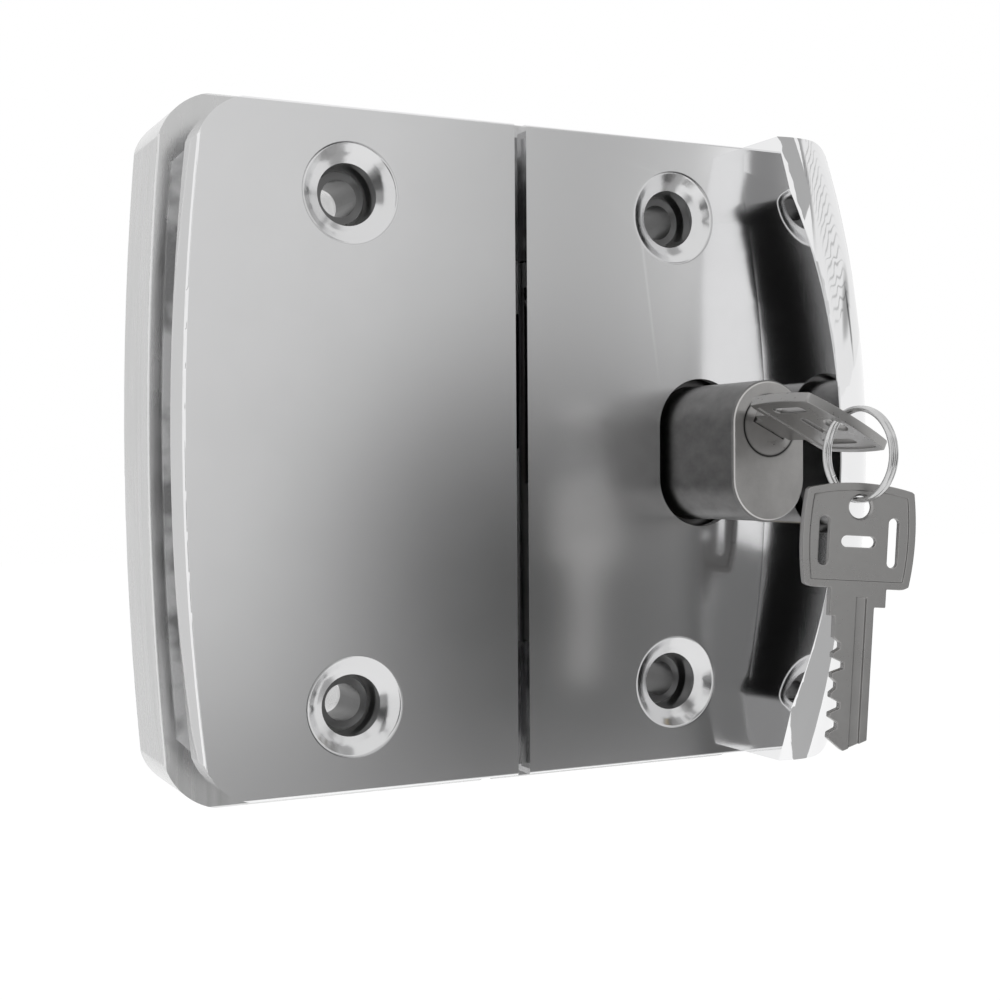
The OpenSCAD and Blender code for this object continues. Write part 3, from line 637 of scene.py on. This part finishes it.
class Paints:
    """Builds each finish once and dresses nodes and pieces in it."""

    def __init__(self) -> None:
        """Starts with no material made."""
        self.made: dict[Metal, bpy.types.Material] = {}

    def get(self, metal: Metal) -> bpy.types.Material:
        """The material of a finish, made at its first use."""
        if metal not in self.made:
            self.made[metal] = metal.value.build()
        return self.made[metal]

    def dress(self, piece: bpy.types.Object, metal: Metal) -> None:
        """Gives a piece one finish all over.

        Args:
            piece: a CAD node or a new piece.
            metal: the finish.
        """
        material = self.get(metal)
        if not piece.material_slots:
            piece.data.materials.append(material)
        for slot in piece.material_slots:
            slot.material = material
        log.info("dressed %s in %s", piece.name, metal.value.name)


# Modelling


@dataclass(frozen=True)
class MeshRules:
    """How solids are cleaned, broken at their edges and shaded."""

    weld_m: float = 0.000002
    flat_deg: float = 0.03
    smooth_deg: float = 30.0
    area_weight: int = 100
    bevel_segments: int = 2


@dataclass
class Bench:
    """Models pieces with operators; each stays at the origin, with its place in its mesh."""

    paints: Paints
    nodes: dict[str, bpy.types.Object]
    rules: MeshRules = MeshRules()

    @staticmethod
    def clear() -> None:
        """Leaves edit mode and deselects everything."""
        if bpy.context.mode != "OBJECT":
            bpy.ops.object.mode_set(mode="OBJECT")
        bpy.ops.object.select_all(action="DESELECT")

    def take(self, piece: bpy.types.Object) -> None:
        """Makes one object the selected and active one."""
        self.clear()
        piece.select_set(True)
        bpy.context.view_layer.objects.active = piece

    def dress(self, metal: Metal, *names: str) -> None:
        """Gives CAD nodes a finish and leaves their shapes alone.

        Args:
            metal: the finish.
            names: the nodes.
        """
        for name in names:
            self.paints.dress(self.nodes[name], metal)

    def copy_node(self, node: str, name: str) -> bpy.types.Object:
        """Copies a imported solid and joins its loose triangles.

        Args:
            node: the CAD node.
            name: name of the copy.

        Returns:
            The copy.
        """
        piece = bpy.data.objects.new(name, self.nodes[node].data.copy())
        bpy.context.scene.collection.objects.link(piece)
        piece.data.materials.clear()
        self.take(piece)
        bpy.ops.mesh.customdata_custom_splitnormals_clear()
        bpy.ops.object.mode_set(mode="EDIT")
        bpy.ops.mesh.select_all(action="SELECT")
        bpy.ops.mesh.remove_doubles(threshold=self.rules.weld_m)
        bpy.ops.object.mode_set(mode="OBJECT")
        return piece

    def merge_flats(self, piece: bpy.types.Object) -> None:
        """Joins the triangles of each flat face into one face."""
        self.take(piece)
        bpy.ops.object.mode_set(mode="EDIT")
        bpy.ops.mesh.select_all(action="SELECT")
        bpy.ops.mesh.dissolve_limited(angle_limit=math.radians(self.rules.flat_deg))
        bpy.ops.object.mode_set(mode="OBJECT")

    def bevel_by_angle(self, piece: bpy.types.Object, width_mm: float, angle_deg: float) -> None:
        """Rounds every edge that is sharper than an angle.

        Args:
            piece: the piece in hand.
            width_mm: width of the rounding.
            angle_deg: smallest angle that is rounded.
        """
        self.take(piece)
        bevel = piece.modifiers.new("edges", "BEVEL")
        bevel.width = width_mm * MM
        bevel.segments = self.rules.bevel_segments
        bevel.limit_method = "ANGLE"
        bevel.angle_limit = math.radians(angle_deg)
        bevel.use_clamp_overlap = False
        bpy.ops.object.modifier_apply(modifier="edges")

    def smooth(self, piece: bpy.types.Object) -> None:
        """Shades a piece smooth except at its sharp edges, with the large faces kept flat."""
        self.take(piece)
        bpy.ops.object.shade_smooth_by_angle(angle=math.radians(self.rules.smooth_deg))
        weighted = piece.modifiers.new("flats", "WEIGHTED_NORMAL")
        weighted.keep_sharp = True
        weighted.weight = self.rules.area_weight
        bpy.ops.object.modifier_apply(modifier="flats")
        self.clear()

    def refine(
        self,
        node: str,
        metal: Metal,
        body: str,
        slot: str,
        edge_mm: float = 0.0,
        sharp_deg: float = 50.0,
    ) -> None:
        """Puts a clean, smooth copy of a solid in its node's place, with softly broken edges.

        Args:
            node: the CAD node.
            metal: the finish.
            body: the body that the node rides on.
            slot: the record's material slot; not used.
            edge_mm: width of the broken edges, 0 to leave them as the solid has them.
            sharp_deg: smallest angle of an edge that is broken.
        """
        piece = self.copy_node(node, f"{node}_worn")
        self.merge_flats(piece)
        if edge_mm > 0.0:
            self.bevel_by_angle(piece, edge_mm, sharp_deg)
        self.smooth(piece)
        self.hand_over(piece, metal, body, node)

    def hand_over(
        self, piece: bpy.types.Object, metal: Metal, body: str, node: str
    ) -> None:
        """Dresses a finished piece and puts it in its node's place.

        Args:
            piece: the finished piece.
            metal: its finish.
            body: the body it rides on.
            node: the CAD node it replaces.
        """
        self.paints.dress(piece, metal)
        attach(piece, body)
        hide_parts(node)
        log.info("piece %s has %d faces", piece.name, len(piece.data.polygons))


# Sub-assemblies


@dataclass
class Assembly:
    """A group of pieces that are made together."""

    bench: Bench

    def build(self) -> None:
        """Makes and dresses the group's pieces."""
        raise NotImplementedError


class StrikeHalf(Assembly):
    """The left half: covers, keeper plate and core box."""

    def build(self) -> None:
        """Puts smooth copies in the covers' places and dresses the rest."""
        bench = self.bench
        bench.refine("strike_front_cover", Metal.PLATE, "frame", "polished_chrome")
        bench.refine("strike_rear_cover", Metal.REAR, "frame", "polished_chrome")
        bench.dress(Metal.STEEL, "strike_plate", "strike_plate_screws", "strike_core_screws")
        bench.dress(Metal.RUBBER, "strike_front_gasket", "strike_rear_gasket")
        bench.dress(Metal.ZINC, "strike_core")
        bench.dress(Metal.SLEEVE, "strike_sleeves")
        bench.dress(Metal.NYLON, "strike_bushes")


class LockHalf(Assembly):
    """The right half: covers, grip, case and the works inside."""

    def build(self) -> None:
        """Puts smooth copies in the covers' places, breaks the grip's edges, dresses the rest."""
        bench = self.bench
        bench.refine("lock_front_cover", Metal.PLATE, "frame", "polished_chrome")
        bench.refine("lock_rear_cover", Metal.REAR, "frame", "polished_chrome")
        bench.refine(
            "pull_grip", Metal.GRIP, "frame", "polished_chrome", edge_mm=0.2, sharp_deg=80.0
        )
        bench.dress(Metal.STEEL, "pull_screws", "case_lid", "case_screws")
        bench.dress(Metal.STEEL, "faceplate", "faceplate_screws")
        bench.dress(Metal.STEEL, "hook_bolt", "hook_pin", "hook_spacers")
        bench.dress(Metal.STEEL, "cam_gear", "cam_washer", "cam_screw", "stop_pins")
        bench.dress(Metal.RUBBER, "lock_front_gasket", "lock_rear_gasket")
        bench.dress(Metal.ZINC, "lock_case")
        bench.dress(Metal.SLEEVE, "lock_sleeves")
        bench.dress(Metal.NYLON, "lock_bushes")


class CylinderSet(Assembly):
    """The oval cylinder with its plug, pins and springs."""

    def build(self) -> None:
        """Breaks the edges of the body and dresses the rest."""
        bench = self.bench
        bench.refine("cylinder_body", Metal.CYLINDER, "frame", "satin_nickel", edge_mm=0.3)
        bench.dress(Metal.CYLINDER, "plug")
        bench.dress(Metal.STEEL, "cylinder_screws", "plug_clip", "pin_springs")
        bench.dress(Metal.BRASS, "bottom_pins", "driver_pins", "chamber_cap")


class KeyBunch(Assembly):
    """The key in the plug, the split ring and the spare key."""

    def build(self) -> None:
        """Breaks the edges of the keys and dresses their ring."""
        bench = self.bench
        bench.refine("key", Metal.NICKEL_KEY, "key", "satin_nickel", edge_mm=0.22)
        bench.refine("spare_key", Metal.NICKEL_KEY, "spare", "satin_nickel", edge_mm=0.22)
        bench.dress(Metal.RING_WIRE, "split_ring")


# Studio


@dataclass(frozen=True)
class Patch:
    """A soft patch on a card: its place and reach, how much it changes, and how hard it ends."""

    centre_mm: tuple[float, float]
    reach_mm: tuple[float, float]
    change: float
    edge: float = 2.0

    def spread(self, across: Wire, up: Wire) -> Wire:
        """The patch's strength, 1 in its middle.

        Args:
            across: coordinate along the card's width.
            up: coordinate along the card's height.

        Returns:
            The strength.
        """
        dx = (across - self.centre_mm[0] * MM) / (self.reach_mm[0] * MM)
        dy = (up - self.centre_mm[1] * MM) / (self.reach_mm[1] * MM)
        return math.e ** -((dx**2.0 + dy**2.0) ** (self.edge / 2.0))


@dataclass(frozen=True)
class Ripples:
    """Thin wavy lines across a card, between two heights, that fan out from one side."""

    low_mm: float
    high_mm: float
    pitch_mm: float
    depth: float
    scallop_mm: float = 330.0
    scallop_swing: float = 0.2
    drift_mm: float = 260.0
    drift_scale: Vec3 = (0.6, 0.4, 1.0)
    drift_of_scallops: float = 0.5
    drift_of_lines: float = 0.6
    fan_per_m: float = 0.6
    rise_mm: float = 520.0
    run_mm: float = 261.0
    fade_shift_mm: float = 150.0
    fade_reach_mm: float = 330.0
    fade_edge: float = 4.0

    def band(self, up: Wire) -> Wire:
        """1 between the two heights, else 0."""
        return (1.0 - up.below(self.low_mm * MM)) * up.below(self.high_mm * MM)

    def lines(self, graph: Graph, across: Wire, up: Wire) -> Wire:
        """Thin lines that wave along the card.

        Args:
            graph: the material's graph.
            across: coordinate along the card's width.
            up: coordinate along the card's height.

        Returns:
            1 on a line, 0 beside it.
        """
        drift = graph.noise(graph.place(self.drift_scale), self.drift_mm, detail=1.0)
        waves = across / (self.scallop_mm * MM) + drift * self.drift_of_scallops
        fan = 1.0 - (across + self.run_mm * MM) * self.fan_per_m
        height = (up + self.rise_mm * MM) / fan
        turns = height / (self.pitch_mm * MM) + self.sine(graph, waves) * self.scallop_swing
        stripes = self.sine(graph, turns + drift * self.drift_of_lines)
        past = (across + self.fade_shift_mm * MM) / (self.fade_reach_mm * MM)
        fade = math.e ** -(past**self.fade_edge)
        thin = graph.ramp(stripes, low=0.6, high=0.95)
        return thin * self.band(height - self.rise_mm * MM) * fade

    @staticmethod
    def sine(graph: Graph, turns: Wire) -> Wire:
        """Sine of a number of turns."""
        return graph.add("ShaderNodeMath", {"operation": "SINE"}, {0: turns * math.tau})


@dataclass(frozen=True)
class Card:
    """A studio card: its place, the way it faces, its size, its grey and its soft patches."""

    name: str
    centre_mm: Vec3
    facing: Vec3
    width_mm: float
    height_mm: float
    grey: float
    glows: tuple[Patch, ...] = ()
    shades: tuple[Patch, ...] = ()
    ripples: Optional[Ripples] = None
    mottle: float = 0.04
    mottle_mm: float = 300.0

    def build(self) -> bpy.types.Material:
        """Makes the card's glowing material, darker and lighter in soft patches.

        Returns:
            The material.
        """
        material, graph = new_material(self.name)
        across, up = graph.along("X"), graph.along("Y")
        uneven = graph.noise(graph.place(), self.mottle_mm, detail=1.0) * self.mottle
        level = uneven + (self.grey - self.mottle / 2.0)
        for shade in self.shades:
            level = level * (1.0 - shade.spread(across, up) * shade.change)
        for glow in self.glows:
            level = level + glow.spread(across, up) * glow.change
        if self.ripples is not None:
            level = level * (1.0 - self.ripples.lines(graph, across, up) * self.ripples.depth)
        glowing = graph.add("ShaderNodeEmission", {}, {"Color": level, "Strength": 1.0})
        graph.node("ShaderNodeOutputMaterial", {}, {"Surface": glowing})
        return material


# In front: what the plates mirror, with the dark mass by the seam.
FRONT_CARD = Card(
    "front_card",
    centre_mm=(450.0, -900.0, 0.0),
    facing=(0.0, 1.0, 0.0),
    width_mm=1100.0,
    height_mm=1200.0,
    grey=0.72,
    glows=(Patch(centre_mm=(235.0, 210.0), reach_mm=(62.0, 130.0), change=0.45),),
    shades=(
        Patch(centre_mm=(90.0, 260.0), reach_mm=(130.0, 420.0), change=0.5),
        Patch(centre_mm=(-34.0, -92.0), reach_mm=(150.0, 184.0), change=0.995, edge=4.0),
        Patch(centre_mm=(150.0, -120.0), reach_mm=(190.0, 190.0), change=0.8, edge=3.0),
        Patch(centre_mm=(0.0, -300.0), reach_mm=(700.0, 120.0), change=0.72, edge=3.0),
    ),
)
# Left of the lens and below it: what the corner between plate and grip mirrors back.
CAMERA_CARD = Card(
    "camera_card",
    centre_mm=(-218.2, -351.8, -5.0),
    facing=(0.58, 0.81, 0.0),
    width_mm=66.0,
    height_mm=400.0,
    grey=0.3,
    shades=(Patch(centre_mm=(0.0, 0.0), reach_mm=(400.0, 78.0), change=0.985, edge=8.0),),
)
ARM_CARD = Card(
    "arm_card",
    centre_mm=(-170.0, -386.3, -78.0),
    facing=(0.58, 0.81, 0.0),
    width_mm=52.0,
    height_mm=146.0,
    grey=0.2,
)
# In front on the right, low and high.
LOW_CARD = Card(
    "low_card",
    centre_mm=(355.0, -300.0, -335.0),
    facing=(-0.59, 0.56, 0.57),
    width_mm=420.0,
    height_mm=330.0,
    grey=0.48,
)
HIGH_CARD = Card(
    "high_card",
    centre_mm=(285.0, -285.0, 420.0),
    facing=(-0.45, 0.54, -0.72),
    width_mm=190.0,
    height_mm=190.0,
    grey=0.46,
)
# Behind the lock, left and right.
BACK_CARD = Card(
    "back_card",
    centre_mm=(-262.0, 685.0, 0.0),
    facing=(0.25, -0.95, 0.0),
    width_mm=170.0,
    height_mm=900.0,
    grey=0.66,
)
EDGE_CARD = Card(
    "edge_card",
    centre_mm=(673.0, 645.0, 60.0),
    facing=(-0.66, -0.75, 0.0),
    width_mm=60.0,
    height_mm=700.0,
    grey=0.14,
)
# To the right: what the grip's outer band mirrors, with the wavy lines.
SIDE_CARD = Card(
    "side_card",
    centre_mm=(900.0, -150.0, 520.0),
    facing=(-1.0, 0.0, 0.0),
    width_mm=2200.0,
    height_mm=760.0,
    grey=0.92,
    shades=(
        Patch(centre_mm=(-300.0, 380.0), reach_mm=(600.0, 120.0), change=0.55, edge=6.0),
        Patch(centre_mm=(20.0, -262.0), reach_mm=(260.0, 36.0), change=0.55, edge=4.0),
        Patch(centre_mm=(90.0, -300.0), reach_mm=(40.0, 60.0), change=0.7, edge=4.0),
    ),
    ripples=Ripples(low_mm=-215.0, high_mm=290.0, pitch_mm=28.0, depth=0.45),
)


@dataclass(frozen=True)
class Lamp:
    """A square soft lamp that faces the lock: its name, place, side and power."""

    name: str
    place_mm: Vec3
    side_mm: float
    watts: float

    def hang(self) -> None:
        """Hangs the lamp, hidden from mirrors."""
        light = bpy.data.lights.new(self.name, "AREA")
        light.size = self.side_mm * MM
        light.energy = self.watts
        lamp = bpy.data.objects.new(self.name, light)
        lamp.visible_glossy = False
        bpy.context.scene.collection.objects.link(lamp)
        turn = Vector(self.place_mm).to_track_quat("Z", "Y").to_matrix().to_4x4()
        lamp.matrix_world = Matrix.Translation(Vector(self.place_mm) * MM) @ turn


@dataclass(frozen=True)
class Studio:
    """White room, floor, lamps and the grey cards that the chrome reflects."""

    eye_mm: Vec3 = (-162.55, -333.76, -4.86)
    yaw_deg: float = 26.20
    pitch_deg: float = -1.04
    roll_deg: float = -0.39
    focal_px: float = 1551.03
    frame_px: float = 1000.0
    sensor_mm: float = 36.0
    nearest_m: float = 0.01
    white: tuple[float, ...] = (1.0, 1.0, 1.0, 1.0)
    room_light: float = 0.55
    floor_side_m: float = 14.0
    floor_drop_mm: float = 420.0
    floor_greys: tuple[Vec3, Vec3] = ((0.88, 0.88, 0.88), (0.92, 0.92, 0.92))
    floor_mottle_mm: float = 40.0
    floor_roughness: float = 0.9
    floor_glow: float = 1.2
    floor_white_share: float = 0.72
    cards: tuple[Card, ...] = (
        FRONT_CARD, CAMERA_CARD, ARM_CARD, LOW_CARD, HIGH_CARD, BACK_CARD, EDGE_CARD, SIDE_CARD,
    )
    lamps: tuple[Lamp, ...] = (
        Lamp("key_lamp", place_mm=(-500.0, -700.0, 600.0), side_mm=500.0, watts=6.0),
        Lamp("fill_lamp", place_mm=(700.0, -500.0, 300.0), side_mm=500.0, watts=3.0),
    )

    def camera(self) -> None:
        """Puts the camera where the photograph was taken."""
        yaw, pitch, roll = (math.radians(a) for a in (self.yaw_deg, self.pitch_deg, self.roll_deg))
        ahead = Vector(
            (math.sin(yaw) * math.cos(pitch), math.cos(yaw) * math.cos(pitch), math.sin(pitch))
        )
        right = Vector((math.cos(yaw), -math.sin(yaw), 0.0))
        up = right.cross(ahead)
        level = right * math.cos(roll) + up * math.sin(roll)
        upright = up * math.cos(roll) - right * math.sin(roll)
        lens = bpy.data.cameras.new("photo_camera")
        lens.sensor_width = self.sensor_mm
        lens.lens = self.focal_px * self.sensor_mm / self.frame_px
        lens.clip_start = self.nearest_m
        camera = bpy.data.objects.new("photo_camera", lens)
        bpy.context.scene.collection.objects.link(camera)
        turn = Matrix((level, upright, -ahead)).transposed().to_4x4()
        camera.matrix_world = Matrix.Translation(Vector(self.eye_mm) * MM) @ turn
        bpy.context.scene.camera = camera

    @staticmethod
    def shown(graph: Graph) -> Wire:
        """1 on the rays that should meet a white background, else 0."""
        path = graph.node("ShaderNodeLightPath", {}, {})
        rays = ("Is Camera Ray", "Is Glossy Ray", "Is Transmission Ray")
        seen = [Wire(graph, path.outputs[name]) for name in rays]
        return seen[0] + seen[1] + seen[2]

    def world(self) -> None:
        """White room that the camera and the metal see, and a plain level of light."""
        world = bpy.data.worlds.new("white_room")
        bpy.context.scene.world = world
        world.use_nodes = True
        graph = Graph(world.node_tree)
        room, white = (
            graph.add("ShaderNodeBackground", {}, {"Color": self.white, "Strength": strength})
            for strength in (self.room_light, 1.0)
        )
        mixed = graph.add("ShaderNodeMixShader", {}, {0: self.shown(graph), 1: room, 2: white})
        graph.node("ShaderNodeOutputWorld", {}, {"Surface": mixed})

    @staticmethod
    def plane(name: str, side_m: float, drop_m: float = 0.0) -> bpy.types.Object:
        """Adds a level square.

        Args:
            name: its name.
            side_m: its side.
            drop_m: how far it lies below the origin.

        Returns:
            The square.
        """
        bpy.ops.object.select_all(action="DESELECT")
        bpy.ops.mesh.primitive_plane_add(size=side_m, location=(0.0, 0.0, -drop_m))
        square = bpy.context.object
        square.name = name
        return square

    def floor(self) -> None:
        """Pale floor: white where lit, and darker in the lock's shadow."""
        plane = self.plane("floor", self.floor_side_m, self.floor_drop_mm * MM)
        bpy.ops.object.transform_apply(location=True, rotation=True, scale=True)
        material, graph = new_material("pale_floor")
        mottle = graph.noise(graph.place(), self.floor_mottle_mm, detail=4.0)
        paint = graph.blend(mottle, *self.floor_greys)
        look = {"Base Color": paint, "Roughness": self.floor_roughness}
        matt = graph.add("ShaderNodeBsdfPrincipled", {}, look)
        glow = {"Color": self.white, "Strength": self.floor_glow}
        white = graph.add("ShaderNodeEmission", {}, glow)
        share = self.shown(graph) * self.floor_white_share
        mixed = graph.add("ShaderNodeMixShader", {}, {0: share, 1: matt, 2: white})
        graph.node("ShaderNodeOutputMaterial", {}, {"Surface": mixed})
        plane.data.materials.append(material)

    def put_card(self, card: Card) -> None:
        """Stands one card in the studio, seen by mirrors only.

        Args:
            card: its place, size and greys.
        """
        plane = self.plane(card.name, 1.0)
        plane.scale = (card.width_mm * MM, card.height_mm * MM, 1.0)
        bpy.ops.object.transform_apply(location=True, rotation=True, scale=True)
        ahead = Vector(card.facing).normalized()
        across = ahead.cross(Vector((0.0, 0.0, 1.0))).normalized()
        turn = Matrix((across, across.cross(ahead), -ahead)).transposed().to_4x4()
        plane.matrix_world = Matrix.Translation(Vector(card.centre_mm) * MM) @ turn
        plane.data.materials.append(card.build())
        plane.visible_camera = False
        plane.visible_diffuse = False
        plane.visible_shadow = False

    def build(self) -> None:
        """Sets up the whole studio."""
        bpy.context.scene.view_settings.view_transform = "Standard"
        self.world()
        self.floor()
        for card in self.cards:
            self.put_card(card)
        for lamp in self.lamps:
            lamp.hang()
        self.camera()


def main() -> None:
    """Builds the sub-assemblies and the studio."""
    logging.basicConfig(level=logging.INFO, format="%(name)s: %(message)s")
    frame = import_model()
    bench = Bench(Paints(), frame["nodes"])
    for part in (StrikeHalf(bench), LockHalf(bench), CylinderSet(bench), KeyBunch(bench)):
        part.build()
        log.info("built %s", type(part).__name__)
    Studio().build()


if __name__ == "__main__":
    main()
